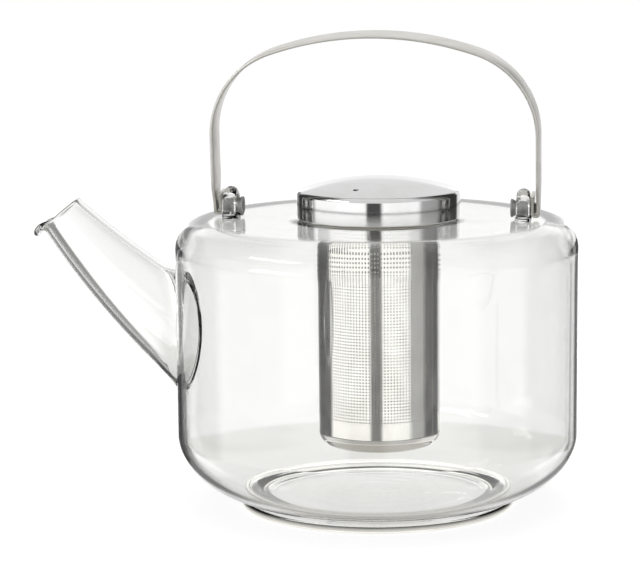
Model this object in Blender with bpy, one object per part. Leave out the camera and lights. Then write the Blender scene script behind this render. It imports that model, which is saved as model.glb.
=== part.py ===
"""Glass teapot with a steel bail handle, a steel lid and a hanging infuser basket.

Metres, +Z up. The origin is the centre of the foot's underside. The spout points
along -X and the handle's arch lies in the XZ plane.
"""
import math

import bmesh
import bpy
from mathutils import Matrix, Vector

MM = 0.001
GAP = 0.3 * MM

# Driving dimensions
BODY_RADIUS = 75 * MM
BODY_TOP = 107.8 * MM
GLASS_WALL = 2.0 * MM
BASE_HEIGHT = 1.5 * MM
BASE_FLAT_RADIUS = 33 * MM
BASE_CORNER_HEIGHT = 26 * MM
SHOULDER_RADIUS = 10.5 * MM
MOUTH_RADIUS = 24.5 * MM
MOUTH_BEAD = 1.3 * MM
FOOT_RADIUS = 51.5 * MM
FOOT_HEIGHT = 3.2 * MM
FOOT_EDGE_RADIUS = 1.3 * MM
FOOT_CHAMFER = 0.6 * MM

SPOUT_ROOT_HEIGHT = 66 * MM
SPOUT_ROOT_ANGLE = math.radians(37)
SPOUT_TURN = math.radians(12)
SPOUT_LENGTH = 60 * MM
SPOUT_ROOT_RADIUS = 16.9 * MM
SPOUT_TIP_RADIUS = 9.0 * MM
SPOUT_WALL = 1.8 * MM
SPOUT_FLARE = 1.2 * MM
SPOUT_FLARE_REACH = 2.5 * MM
SPOUT_SUNK = 16 * MM
LIP_BEND_RADIUS = 1.9 * MM
LIP_TURN = math.radians(125)
LIP_RISE = 1.2 * MM
LIP_STEPS = 5

HINGE_HEIGHT = 112 * MM
LUG_CENTRE = 54.7 * MM
LUG_HALF_THICKNESS = 2.5 * MM
LUG_HOLE_RADIUS = 3.1 * MM
LUG_ROD_HALF = 2.1 * MM
LUG_FOOT_SPREAD = 0.8 * MM
LUG_FOOT_HEIGHT = 1.2 * MM

STRAP_THICKNESS = 1.2 * MM
STRAP_LEG_X = 60.2 * MM
STRAP_RETURN_X = 58.1 * MM
STRAP_RETURN_TOP = 117.2 * MM
STRAP_FOLD_BOTTOM = 108.5 * MM
STRAP_CHAMFER = 0.3 * MM
STRAP_CROWN_HEIGHT = 176.2 * MM
STRAP_CROWN_RADIUS = 118 * MM
STRAP_CORNER_HEIGHT = 139 * MM
STRAP_HALF_WIDTH = 7 * MM
STRAP_TAPER = 10 * MM
HANDLE_LEAN = math.radians(5)
STRAP_END_RADIUS = 3.9 * MM
STRAP_END_HALF_WIDTH = 1.5 * MM

PIN_RADIUS = 2.6 * MM
PIN_LIP_RADIUS = 3.4 * MM
PIN_NECK_RADIUS = 1.3 * MM
PIN_HEAD_RADIUS = 2.1 * MM
PIN_BORE_RADIUS = 1.5 * MM
PIN_INNER_END = 50.0 * MM
PIN_LIP_LENGTH = 2.2 * MM
PIN_HEAD_HEIGHT = 0.4 * MM
PIN_BORE_END = 1.0 * MM

LID_RADIUS = 30.3 * MM
LID_BOTTOM = 108.2 * MM
LID_BAND_TOP = 116.6 * MM
LID_EDGE_RADIUS = 2.2 * MM
LID_DOME_RADIUS = 93.5 * MM
LID_SHEET = 0.8 * MM
VENT_RADIUS = 1.0 * MM
VENT_PLACE = (-5.5 * MM, -21 * MM)
LINER_PLATE = 110.4 * MM
LINER_SKIRT_RADIUS = 20.4 * MM
LINER_SKIRT_BOTTOM = 103.5 * MM
LINER_SHEET = 0.6 * MM
SEAL_INNER_RADIUS = 20.7 * MM
SEAL_OUTER_RADIUS = 27.8 * MM
SEAL_TOP = 110.1 * MM

BASKET_OFFSET = 0.8 * MM
BASKET_RADIUS = 22.8 * MM
BASKET_SHEET = 0.5 * MM
BASKET_BOTTOM = 22.6 * MM
BASKET_CORNER = 5.2 * MM
COLLAR_RADIUS = 28.8 * MM
COLLAR_SHEET = 0.8 * MM
COLLAR_BORE = 21.2 * MM
COLLAR_SKIRT_SHEET = 0.5 * MM
COLLAR_SKIRT_BOTTOM = 103.0 * MM
COLLAR_EDGE = 0.3 * MM


def clear_scene():
    """Remove every object."""
    for thing in list(bpy.data.objects):
        bpy.data.objects.remove(thing, do_unlink=True)


def make_material(name, colour, roughness, metallic, transmission=0.0):
    """Return a Principled material."""
    material = bpy.data.materials.new(name)
    material.use_nodes = True
    shader = material.node_tree.nodes["Principled BSDF"]
    shader.inputs["Base Color"].default_value = (*colour, 1.0)
    shader.inputs["Roughness"].default_value = roughness
    shader.inputs["Metallic"].default_value = metallic
    shader.inputs["Transmission Weight"].default_value = transmission
    return material


def make_object(name, shape, material, parent=None):
    """Turn a bmesh into a smooth-shaded object with its origin at its parent's."""
    bmesh.ops.remove_doubles(shape, verts=shape.verts, dist=0.0001 * MM)
    bmesh.ops.recalc_face_normals(shape, faces=shape.faces)
    mesh = bpy.data.meshes.new(name)
    shape.to_mesh(mesh)
    shape.free()
    mesh.materials.append(material)
    mesh.shade_smooth()
    mesh.set_sharp_from_angle(angle=math.radians(35))
    thing = bpy.data.objects.new(name, mesh)
    bpy.context.scene.collection.objects.link(thing)
    thing.parent = parent
    return thing


def make_empty(name, location, parent=None):
    """Return an empty that marks a joint's axis."""
    empty = bpy.data.objects.new(name, None)
    bpy.context.scene.collection.objects.link(empty)
    empty.location = location
    empty.parent = parent
    return empty


def arc(centre, radii, start, end, steps):
    """Points of an elliptical arc; angles in degrees, both ends included."""
    points = []
    for step in range(steps + 1):
        angle = math.radians(start + (end - start) * step / steps)
        points.append((centre[0] + radii[0] * math.cos(angle), centre[1] + radii[1] * math.sin(angle)))
    return points


def turned(outline, segments):
    """Spin a closed (radius, height) outline once around Z."""
    shape = bmesh.new()
    verts = [shape.verts.new((radius, 0, height)) for radius, height in outline]
    edges = []
    for first, second in zip(verts, verts[1:] + verts[:1]):
        on_axis = first.co.x < 1e-7 and second.co.x < 1e-7
        if not on_axis:
            edges.append(shape.edges.new((first, second)))
    bmesh.ops.spin(
        shape,
        geom=verts + edges,
        cent=(0, 0, 0),
        axis=(0, 0, 1),
        angle=math.tau,
        steps=segments,
        use_merge=True,
    )
    return shape


def skin(rings, closed_path=False):
    """Join rings of points into one closed tube, with flat ends unless the path closes."""
    shape = bmesh.new()
    loops = [[shape.verts.new(point) for point in ring] for ring in rings]
    count = len(loops[0])
    pairs = list(zip(loops, loops[1:]))
    if closed_path:
        pairs.append((loops[-1], loops[0]))
    for near, far in pairs:
        for index in range(count):
            following = (index + 1) % count
            shape.faces.new((near[index], near[following], far[following], far[index]))
    if not closed_path:
        shape.faces.new(loops[0])
        shape.faces.new(loops[-1])
    return shape


def cut_away(target, cutter):
    """Subtract a hidden cutter from an object."""
    cutter.hide_render = True
    cutter.display_type = "WIRE"
    modifier = target.modifiers.new("cut_" + cutter.name, "BOOLEAN")
    modifier.operation = "DIFFERENCE"
    modifier.solver = "EXACT"
    modifier.object = cutter


def smooth_step(value):
    """Ease from 0 to 1."""
    value = min(max(value, 0.0), 1.0)
    return value * value * (3 - 2 * value)


def make_cylinder_cutter(name, radius, depth, placement, segments=24):
    """Return a cylinder along its own Z, placed by a matrix."""
    shape = bmesh.new()
    bmesh.ops.create_cone(
        shape, cap_ends=True, segments=segments, radius1=radius, radius2=radius, depth=depth, matrix=placement
    )
    return make_object(name, shape, MATERIALS["steel"])


# Vessel


def base_outline():
    """Closed outline of the vessel's base: a flat floor that curves up to the wall."""
    low = BASE_HEIGHT + BASE_CORNER_HEIGHT
    corner = BODY_RADIUS - BASE_FLAT_RADIUS
    inner_radii = (corner - GLASS_WALL, BASE_CORNER_HEIGHT - GLASS_WALL)
    outline = [(0, BASE_HEIGHT)]
    outline += arc((BASE_FLAT_RADIUS, low), (corner, BASE_CORNER_HEIGHT), -90, 0, 7)
    outline += arc((BASE_FLAT_RADIUS, low), inner_radii, 0, -90, 7)
    outline.append((0, BASE_HEIGHT + GLASS_WALL))
    return outline


def wall_outline():
    """Closed outline of the vessel's upright wall."""
    low = BASE_HEIGHT + BASE_CORNER_HEIGHT + GAP
    high = BODY_TOP - SHOULDER_RADIUS - GAP
    inner = BODY_RADIUS - GLASS_WALL
    return [(inner, low), (BODY_RADIUS, low), (BODY_RADIUS, high), (inner, high)]


def shoulder_outline():
    """Closed outline of the vessel's shoulder and flat top, from the wall to the mouth."""
    centre = (BODY_RADIUS - SHOULDER_RADIUS, BODY_TOP - SHOULDER_RADIUS)
    inner = SHOULDER_RADIUS - GLASS_WALL
    bead_centre = (MOUTH_RADIUS + MOUTH_BEAD, BODY_TOP - MOUTH_BEAD)
    outline = arc(centre, (SHOULDER_RADIUS, SHOULDER_RADIUS), 0, 90, 5)
    outline += arc(bead_centre, (MOUTH_BEAD, MOUTH_BEAD), 90, 240, 5)
    outline += arc(centre, (inner, inner), 90, 0, 5)
    return outline


def make_vessel():
    """The blown glass vessel in three rings, its wall open to the spout."""
    make_object("glass_base", turned(base_outline(), 48), MATERIALS["glass"])
    make_object("glass_shoulder", turned(shoulder_outline(), 48), MATERIALS["glass"])
    wall = make_object("glass_wall", turned(wall_outline(), 48), MATERIALS["glass"])
    channel = make_object("spout_opening_cutter", spout_channel(-26 * MM, 8 * MM, 6), MATERIALS["glass"])
    cut_away(wall, channel)


def make_foot():
    """The glass foot disc, hollowed on top to follow the vessel's base."""
    edge = FOOT_EDGE_RADIUS
    floor = BASE_HEIGHT - GAP
    low = BASE_HEIGHT + BASE_CORNER_HEIGHT
    corner = BODY_RADIUS - BASE_FLAT_RADIUS
    outline = [(0, 0)]
    outline += arc((FOOT_RADIUS - edge, edge), (edge, edge), -90, 0, 3)
    outline += [(FOOT_RADIUS, FOOT_HEIGHT - FOOT_CHAMFER), (FOOT_RADIUS - FOOT_CHAMFER, FOOT_HEIGHT)]
    hollow = arc((BASE_FLAT_RADIUS, low), (corner, BASE_CORNER_HEIGHT), -90, -68, 3)
    outline += [(radius, height - GAP) for radius, height in reversed(hollow)]
    outline.append((0, floor))
    return make_object("foot_disc", turned(outline, 48), MATERIALS["glass"])


# Spout


def spout_frame(distance):
    """Centre and direction of the spout's curved axis at a distance from its root."""
    bend_radius = SPOUT_LENGTH / SPOUT_TURN
    angle = SPOUT_ROOT_ANGLE + distance / bend_radius
    across = bend_radius * (math.sin(angle) - math.sin(SPOUT_ROOT_ANGLE))
    up = bend_radius * (math.cos(SPOUT_ROOT_ANGLE) - math.cos(angle))
    centre = Vector((-BODY_RADIUS - across, 0, SPOUT_ROOT_HEIGHT + up))
    below = Vector((-math.sin(angle), 0, -math.cos(angle)))
    return centre, below


def spout_ring(distance, radius, flare=0.0, count=28):
    """One ring of the spout; flare widens it where it nears the vessel."""
    centre, below = spout_frame(distance)
    sideways = Vector((0, 1, 0))
    ring = []
    for index in range(count):
        angle = math.tau * index / count
        direction = below * math.cos(angle) + sideways * math.sin(angle)
        point = centre + direction * radius
        clearance = max(math.hypot(point.x, point.y) - BODY_RADIUS, 0.0)
        ring.append(point + direction * flare * math.exp(-clearance / SPOUT_FLARE_REACH))
    return ring


def lip_ring(step, depth, count=28):
    """One ring past the tip: the lower side curls over into a drip lip, the rest runs on.

    depth is measured in from the outer surface, square to it.
    """
    centre, below = spout_frame(SPOUT_LENGTH)
    sideways = Vector((0, 1, 0))
    onward = Vector((below.z, 0, -below.x))
    share = step / LIP_STEPS
    ring = []
    for index in range(count):
        angle = math.tau * index / count
        direction = below * math.cos(angle) + sideways * math.sin(angle)
        pull = max(math.cos(angle), 0.0) ** 3
        turn = LIP_TURN * share * pull
        straight = LIP_RISE * share * (1 - pull)
        advance = LIP_BEND_RADIUS * math.sin(turn) + straight + depth * math.sin(turn)
        outward = LIP_BEND_RADIUS * (1 - math.cos(turn)) - depth * math.cos(turn)
        ring.append(centre + direction * (SPOUT_TIP_RADIUS + outward) + onward * advance)
    return ring


def spout_radius(distance):
    """Outer radius of the spout at a distance from its root."""
    return SPOUT_ROOT_RADIUS + (SPOUT_TIP_RADIUS - SPOUT_ROOT_RADIUS) * distance / SPOUT_LENGTH


def spout_channel(start, end, steps):
    """Closed plug of the spout's bore between two distances."""
    rings = []
    for step in range(steps + 1):
        distance = start + (end - start) * step / steps
        rings.append(spout_ring(distance, spout_radius(distance) - SPOUT_WALL))
    return skin(rings)


def make_spout():
    """The glass spout: a tapering curved tube with a drip lip, its root cut to the vessel."""
    start = -SPOUT_SUNK
    steps = 11
    outer = []
    inner = []
    for step in range(steps + 1):
        distance = start + (SPOUT_LENGTH - start) * step / steps
        radius = spout_radius(distance)
        outer.append(spout_ring(distance, radius, SPOUT_FLARE))
        inner.append(spout_ring(distance, radius - SPOUT_WALL))
    for step in range(1, LIP_STEPS + 1):
        outer.append(lip_ring(step, 0.0))
        inner.append(lip_ring(step, SPOUT_WALL))
    rim = lip_ring(LIP_STEPS + 0.6, SPOUT_WALL / 2)
    spout = make_object("spout", skin(outer + [rim] + inner[::-1], closed_path=True), MATERIALS["glass"])
    upright = Matrix.Translation((0, 0, BODY_TOP / 2))
    core = make_cylinder_cutter("spout_root_cutter", BODY_RADIUS + GAP, 2 * BODY_TOP, upright, 96)
    cut_away(spout, core)
    return spout


# Lugs and handle


def make_lug(name, side):
    """A glass loop on the shoulder that one handle pivot passes through."""
    path_radius = LUG_HOLE_RADIUS + LUG_ROD_HALF
    foot = BODY_TOP + GAP
    low = foot - HINGE_HEIGHT
    path = [(-path_radius, low, LUG_FOOT_SPREAD), (-path_radius, low + LUG_FOOT_HEIGHT, 0.0)]
    for step in range(13):
        angle = math.pi * (1 - step / 12)
        path.append((path_radius * math.cos(angle), path_radius * math.sin(angle), 0.0))
    path += [(path_radius, low + LUG_FOOT_HEIGHT, 0.0), (path_radius, low, LUG_FOOT_SPREAD)]
    rings = []
    for along_y, along_z, extra in path:
        outward = Vector((0, along_y, max(along_z, 0.0))).normalized()
        ring = []
        for index in range(12):
            angle = math.tau * index / 12
            across = (LUG_ROD_HALF + extra) * math.cos(angle)
            along_x = LUG_HALF_THICKNESS * math.sin(angle)
            ring.append(Vector((along_x, along_y, along_z)) + outward * across)
        rings.append(ring)
    lug = make_object(name, skin(rings), MATERIALS["glass"])
    lug.location = (side * LUG_CENTRE, 0, HINGE_HEIGHT)
    return lug


def strap_path():
    """Centreline of half the strap, from the top of the return plate to the crown."""
    fold_radius = (STRAP_LEG_X - STRAP_RETURN_X) / 2
    fold_height = STRAP_FOLD_BOTTOM + STRAP_THICKNESS / 2 + fold_radius
    crown_centre = STRAP_CROWN_HEIGHT - STRAP_CROWN_RADIUS
    rise = STRAP_CORNER_HEIGHT - crown_centre
    reach = STRAP_CROWN_RADIUS**2 - STRAP_LEG_X**2 - rise**2
    corner_radius = reach / (2 * (STRAP_CROWN_RADIUS - STRAP_LEG_X))
    corner_x = STRAP_LEG_X - corner_radius
    tangent = math.degrees(math.atan2(rise, corner_x))
    path = []
    for step in range(6):
        height = STRAP_RETURN_TOP + (fold_height - STRAP_RETURN_TOP) * step / 6
        path.append((STRAP_RETURN_X, height))
    path += arc((STRAP_RETURN_X + fold_radius, fold_height), (fold_radius, fold_radius), 180, 360, 6)
    for step in range(1, 10):
        path.append((STRAP_LEG_X, fold_height + 12.6 * MM * step / 9))
    path.append((STRAP_LEG_X, STRAP_CORNER_HEIGHT - 10 * MM))
    path += arc((corner_x, STRAP_CORNER_HEIGHT), (corner_radius, corner_radius), 0, tangent, 8)
    crown = arc((0, crown_centre), (STRAP_CROWN_RADIUS, STRAP_CROWN_RADIUS), tangent, 90, 8)
    return path + crown[1:]


def strap_half_width(height):
    """Half the strap's width: rounded around the pivot, full a little above it."""
    below = HINGE_HEIGHT - height + STRAP_THICKNESS / 2
    rounded = math.sqrt(max(STRAP_END_RADIUS**2 - max(below, 0.0) ** 2, STRAP_END_HALF_WIDTH**2))
    if height < HINGE_HEIGHT:
        return rounded
    return rounded + (STRAP_HALF_WIDTH - rounded) * smooth_step((height - HINGE_HEIGHT) / STRAP_TAPER)


def make_strap(hinge):
    """The bail: one steel strap whose ends fold back inside the legs."""
    half = strap_path()
    mirrored = [(-x, z) for x, z in reversed(half[:-1])]
    path = [Vector((x, 0, z)) for x, z in half + mirrored]
    chamfer = STRAP_CHAMFER
    rings = []
    for index, point in enumerate(path):
        before = path[max(index - 1, 0)]
        after = path[min(index + 1, len(path) - 1)]
        along = (after - before).normalized()
        normal = Vector((along.z, 0, -along.x))
        width = strap_half_width(point.z)
        thick = STRAP_THICKNESS / 2
        ring = []
        for sideways, depth in (
            (-width, chamfer - thick),
            (chamfer - width, -thick),
            (width - chamfer, -thick),
            (width, chamfer - thick),
            (width, thick - chamfer),
            (width - chamfer, thick),
            (chamfer - width, thick),
            (-width, thick - chamfer),
        ):
            ring.append(point + Vector((0, sideways, -HINGE_HEIGHT)) + normal * depth)
        rings.append(ring)
    strap = make_object("handle_strap", skin(rings), MATERIALS["steel"], hinge)
    for name, side in (("spout_side_rivet_hole", -1), ("rear_rivet_hole", 1)):
        place = Matrix.Translation((side * STRAP_RETURN_X, 0, 0)) @ Matrix.Rotation(math.pi / 2, 4, "Y")
        hole = make_cylinder_cutter(name, PIN_NECK_RADIUS + GAP, STRAP_THICKNESS + 0.6 * MM, place)
        hole.parent = hinge
        cut_away(strap, hole)
    return strap


def make_pivot(name, side, hinge):
    """A hollow rivet: lipped inside the lug, riveted over in the strap's return plate."""
    plate_inner = STRAP_RETURN_X - STRAP_THICKNESS / 2
    plate_outer = STRAP_RETURN_X + STRAP_THICKNESS / 2
    shank_end = plate_inner - 0.2 * MM
    lip_end = PIN_INNER_END + PIN_LIP_LENGTH
    head_start = plate_outer + 0.15 * MM
    outline = [
        (PIN_BORE_RADIUS, PIN_INNER_END),
        (PIN_LIP_RADIUS - 0.3 * MM, PIN_INNER_END),
        (PIN_LIP_RADIUS, PIN_INNER_END + 0.3 * MM),
        (PIN_LIP_RADIUS - 0.2 * MM, lip_end - 0.5 * MM),
        (PIN_RADIUS, lip_end),
        (PIN_RADIUS, shank_end),
        (PIN_NECK_RADIUS, shank_end),
        (PIN_NECK_RADIUS, head_start),
        (PIN_HEAD_RADIUS, head_start),
        (PIN_HEAD_RADIUS - 0.2 * MM, head_start + PIN_HEAD_HEIGHT),
        (0, head_start + PIN_HEAD_HEIGHT),
        (0, shank_end - PIN_BORE_END),
        (PIN_BORE_RADIUS, shank_end - PIN_BORE_END),
    ]
    pivot = make_object(name, turned(outline, 24), MATERIALS["steel"], hinge)
    pivot.rotation_euler = (0, side * math.pi / 2, 0)
    return pivot


# Lid


def lid_outline():
    """Closed outline of the domed lid's steel shell."""
    edge_centre = (LID_RADIUS - LID_EDGE_RADIUS, LID_BAND_TOP)
    slope = math.degrees(math.asin((LID_RADIUS - LID_EDGE_RADIUS) / (LID_DOME_RADIUS - LID_EDGE_RADIUS)))
    edge = arc(edge_centre, (LID_EDGE_RADIUS, LID_EDGE_RADIUS), 0, 90 - slope, 4)
    drop = (LID_DOME_RADIUS - LID_EDGE_RADIUS) * math.cos(math.radians(slope))
    dome_centre = (0, LID_BAND_TOP - drop)
    dome = arc(dome_centre, (LID_DOME_RADIUS, LID_DOME_RADIUS), 90 - slope, 90, 5)
    inner_edge = LID_EDGE_RADIUS - LID_SHEET
    inner_dome = LID_DOME_RADIUS - LID_SHEET
    outside = [(LID_RADIUS - 0.2 * MM, LID_BOTTOM), (LID_RADIUS, LID_BOTTOM + 0.3 * MM)] + edge + dome[1:]
    inside = arc(dome_centre, (inner_dome, inner_dome), 90, 90 - slope, 5)
    inside += arc(edge_centre, (inner_edge, inner_edge), 90 - slope, 0, 2)[1:]
    inside.append((LID_RADIUS - LID_SHEET, LID_BOTTOM))
    return [(radius if radius > 1e-6 else 0, height) for radius, height in outside + inside]


def make_lid_cap(lift):
    """The polished steel lid with its steam vent."""
    cap = make_object("lid_cap", turned(lid_outline(), 40), MATERIALS["steel"], lift)
    place = Matrix.Translation((*VENT_PLACE, LID_BAND_TOP + 5 * MM))
    vent = make_cylinder_cutter("steam_vent_cutter", VENT_RADIUS, 12 * MM, place, 16)
    cut_away(cap, vent)
    return cap


def make_lid_liner(lift):
    """The steel cup inside the lid, whose skirt plugs the basket's mouth."""
    plate = LINER_PLATE
    outer = LID_RADIUS - LID_SHEET - GAP
    skirt = LINER_SKIRT_RADIUS
    foot = LINER_SKIRT_BOTTOM
    sheet = LINER_SHEET
    outline = [
        (0, plate),
        (skirt - sheet, plate),
        (skirt - sheet, foot),
        (skirt, foot),
        (skirt, plate),
        (outer, plate),
        (outer, plate + sheet),
        (0, plate + sheet),
    ]
    return make_object("lid_liner", turned(outline, 40), MATERIALS["brushed"], lift)


def make_lid_seal(lift):
    """The silicone ring that the lid rests on."""
    inner = SEAL_INNER_RADIUS
    outer = SEAL_OUTER_RADIUS
    low = BODY_TOP + GAP + COLLAR_SHEET + GAP
    high = SEAL_TOP
    crown = 0.3 * MM
    outline = [(inner, low), (outer - crown, low), (outer, low + crown), (outer, high), (inner, high)]
    return make_object("lid_seal", turned(outline, 40), MATERIALS["silicone"], lift)


# Infuser basket


def make_collar(lift):
    """The basket's flange, which rests on the vessel's mouth, with a short skirt."""
    low = BODY_TOP + GAP
    high = low + COLLAR_SHEET
    bore = COLLAR_BORE
    skirt = bore + COLLAR_SKIRT_SHEET
    outline = [
        (bore, COLLAR_SKIRT_BOTTOM),
        (skirt, COLLAR_SKIRT_BOTTOM),
        (skirt, low),
        (COLLAR_RADIUS - COLLAR_EDGE, low),
        (COLLAR_RADIUS, low + COLLAR_SHEET / 2),
        (COLLAR_RADIUS - COLLAR_EDGE, high),
        (bore, high),
    ]
    return make_object("basket_collar", turned(outline, 40), MATERIALS["brushed"], lift)


def make_sleeve(lift):
    """The rolled sheet tube of the basket."""
    low = BASKET_BOTTOM + BASKET_CORNER + GAP
    high = BODY_TOP
    bore = BASKET_RADIUS - BASKET_SHEET
    outline = [(bore, low), (BASKET_RADIUS, low), (BASKET_RADIUS, high), (bore, high)]
    return make_object("basket_sleeve", turned(outline, 40), MATERIALS["brushed"], lift)


def make_cup(lift):
    """The pressed cup that closes the basket's lower end."""
    centre = (BASKET_RADIUS - BASKET_CORNER, BASKET_BOTTOM + BASKET_CORNER)
    inner = BASKET_CORNER - BASKET_SHEET
    outline = [(0, BASKET_BOTTOM)]
    outline += arc(centre, (BASKET_CORNER, BASKET_CORNER), -90, 0, 4)
    outline += arc(centre, (inner, inner), 0, -90, 4)
    outline.append((0, BASKET_BOTTOM + BASKET_SHEET))
    return make_object("basket_cup", turned(outline, 40), MATERIALS["brushed"], lift)


clear_scene()
MATERIALS = {
    "glass": make_material("clear_borosilicate_glass", (0.95, 0.97, 0.97), 0.02, 0.0, 1.0),
    "steel": make_material("polished_steel", (0.78, 0.77, 0.75), 0.12, 1.0),
    "brushed": make_material("satin_steel", (0.68, 0.67, 0.65), 0.28, 1.0),
    "silicone": make_material("clear_silicone", (0.85, 0.86, 0.86), 0.45, 0.0),
}

handle_hinge = make_empty("handle_hinge", (0, 0, HINGE_HEIGHT))
handle_hinge.rotation_euler = (HANDLE_LEAN, 0, 0)
basket_lift = make_empty("basket_lift", (BASKET_OFFSET, 0, 0))
lid_lift = make_empty("lid_lift", (0, 0, 0), basket_lift)

make_vessel()
make_foot()
make_spout()
make_lug("spout_side_lug", -1)
make_lug("rear_lug", 1)
make_strap(handle_hinge)
make_pivot("spout_side_pivot", -1, handle_hinge)
make_pivot("rear_pivot", 1, handle_hinge)
make_collar(basket_lift)
make_sleeve(basket_lift)
make_cup(basket_lift)
make_lid_liner(lid_lift)
make_lid_seal(lid_lift)
make_lid_cap(lid_lift)
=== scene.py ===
"""Looks of the glass teapot: fine meshes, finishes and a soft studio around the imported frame."""
import logging
import math
from dataclasses import dataclass
from enum import Enum

import bmesh
import bpy
from mathutils import Matrix, Vector


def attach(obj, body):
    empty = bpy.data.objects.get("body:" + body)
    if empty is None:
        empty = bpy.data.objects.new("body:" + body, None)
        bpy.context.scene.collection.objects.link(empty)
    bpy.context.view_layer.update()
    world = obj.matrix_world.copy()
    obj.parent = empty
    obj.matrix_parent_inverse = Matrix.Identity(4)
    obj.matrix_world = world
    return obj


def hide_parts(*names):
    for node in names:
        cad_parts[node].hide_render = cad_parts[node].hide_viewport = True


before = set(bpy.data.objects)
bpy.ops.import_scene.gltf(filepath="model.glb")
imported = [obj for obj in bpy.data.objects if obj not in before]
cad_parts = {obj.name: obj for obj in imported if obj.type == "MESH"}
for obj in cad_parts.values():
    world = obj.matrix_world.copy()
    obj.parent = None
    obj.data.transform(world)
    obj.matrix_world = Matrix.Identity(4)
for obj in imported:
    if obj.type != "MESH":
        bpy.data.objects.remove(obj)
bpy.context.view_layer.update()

LOG = logging.getLogger("teapot")
MM = 0.001
CREASE = math.radians(34)
LAY = "lay"
ON_AXIS = 1e-6

Point = tuple[float, float]
Ring = list[Vector]
Colour = tuple[float, float, float]


class Body(Enum):
    """The moving bodies of the frame."""

    VESSEL = "vessel"
    HANDLE = "handle"
    BASKET = "basket"
    LID = "lid"


class Slot(Enum):
    """Names of the material slots."""

    GLASS = "clear_glass"
    POLISHED = "polished_steel"
    SATIN = "satin_steel"
    SILICONE = "silicone"


# Mesh making


def arc(centre: Point, radii: Point, start: float, end: float, steps: int) -> list[Point]:
    """Points of an elliptical arc, both ends included.

    Args:
        centre: Middle of the ellipse.
        radii: Half axes along radius and height.
        start: First angle in degrees.
        end: Last angle in degrees.
        steps: Number of chords.

    Returns:
        The points in order.
    """
    points = []
    for step in range(steps + 1):
        angle = math.radians(start + (end - start) * step / steps)
        points.append((centre[0] + radii[0] * math.cos(angle), centre[1] + radii[1] * math.sin(angle)))
    return points


def circle(radius: float, height: float, count: int) -> Ring:
    """Points of a level circle round Z, or its centre alone where the radius is zero.

    Args:
        radius: Radius of the circle.
        height: Height of the circle.
        count: Number of points.

    Returns:
        The points in order.
    """
    if radius < ON_AXIS:
        return [Vector((0, 0, height))]
    spokes = [math.tau * index / count for index in range(count)]
    return [Vector((radius * math.cos(angle), radius * math.sin(angle), height)) for angle in spokes]


def turned(outline: list[Point], segments: int) -> bmesh.types.BMesh:
    """Spin a closed outline once around Z.

    Args:
        outline: Radius and height of each corner; corners on the axis have radius zero.
        segments: Number of steps round the axis.

    Returns:
        The closed shape, with its run along the outline kept in the lay layer.
    """
    shape = bmesh.new()
    layer = shape.verts.layers.float_vector.new(LAY)
    run = 0.0
    rows = []
    before = outline[0]
    for radius, height in outline:
        run += math.hypot(radius - before[0], height - before[1])
        before = (radius, height)
        rows.append([shape.verts.new(point) for point in circle(radius, height, segments)])
        for vert in rows[-1]:
            vert[layer] = (run, 0.0, 0.0)
    for near, far in zip(rows, rows[1:] + rows[:1]):
        for index in range(segments):
            following = (index + 1) % segments
            corners = [near[index % len(near)], near[following % len(near)]]
            corners += [far[following % len(far)], far[index % len(far)]]
            unique = list(dict.fromkeys(corners))
            if len(unique) > 2:
                shape.faces.new(unique)
    return shape


def skin(rings: list[Ring], closed_path: bool = False) -> bmesh.types.BMesh:
    """Join rings of points into one closed tube.

    Args:
        rings: Rings with the same number of points, in order along the tube.
        closed_path: Whether the last ring joins the first; otherwise the ends are capped.

    Returns:
        The closed shape, with the run along the tube and across it kept in the lay layer.
    """
    shape = bmesh.new()
    layer = shape.verts.layers.float_vector.new(LAY)
    loops = []
    run = 0.0
    middle = sum(rings[0], Vector()) / len(rings[0])
    for ring in rings:
        here = sum(ring, Vector()) / len(ring)
        run += (here - middle).length
        middle = here
        loops.append([shape.verts.new(point) for point in ring])
        for vert, point in zip(loops[-1], ring):
            vert[layer] = ((point - middle).dot(Vector((0, 1, 0))), run, 0.0)
    pairs = list(zip(loops, loops[1:]))
    if closed_path:
        pairs.append((loops[-1], loops[0]))
    for near, far in pairs:
        for index in range(len(near)):
            following = (index + 1) % len(near)
            shape.faces.new((near[index], near[following], far[following], far[index]))
    if not closed_path:
        shape.faces.new(loops[0])
        shape.faces.new(loops[-1])
    return shape


def settle(name: str, shape: bmesh.types.BMesh, place: Matrix | None = None) -> bpy.types.Object:
    """Turn a shape into a smooth-shaded object.

    Args:
        name: Name of the object.
        shape: The shape, which is used up.
        place: Where the shape goes in the frame.

    Returns:
        The new object, linked to the scene.
    """
    bmesh.ops.recalc_face_normals(shape, faces=shape.faces)
    if place is not None:
        bmesh.ops.transform(shape, matrix=place, verts=shape.verts)
    mesh = bpy.data.meshes.new(name)
    shape.to_mesh(mesh)
    shape.free()
    mesh.shade_smooth()
    mesh.set_sharp_from_angle(angle=CREASE)
    thing = bpy.data.objects.new(name, mesh)
    bpy.context.scene.collection.objects.link(thing)
    return thing


def combine(target: bpy.types.Object, tool: bpy.types.Object, operation: str) -> None:
    """Apply a boolean to an object's mesh and remove the tool.

    Args:
        target: The object that keeps the result.
        tool: The object that cuts or joins.
        operation: DIFFERENCE or UNION.
    """
    modifier = target.modifiers.new("combine", "BOOLEAN")
    modifier.operation = operation
    modifier.solver = "EXACT"
    modifier.object = tool
    bpy.context.view_layer.update()
    made = bpy.data.meshes.new_from_object(target.evaluated_get(bpy.context.evaluated_depsgraph_get()))
    target.modifiers.clear()
    target.data = made
    made.set_sharp_from_angle(angle=CREASE)
    bpy.data.objects.remove(tool)


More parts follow.
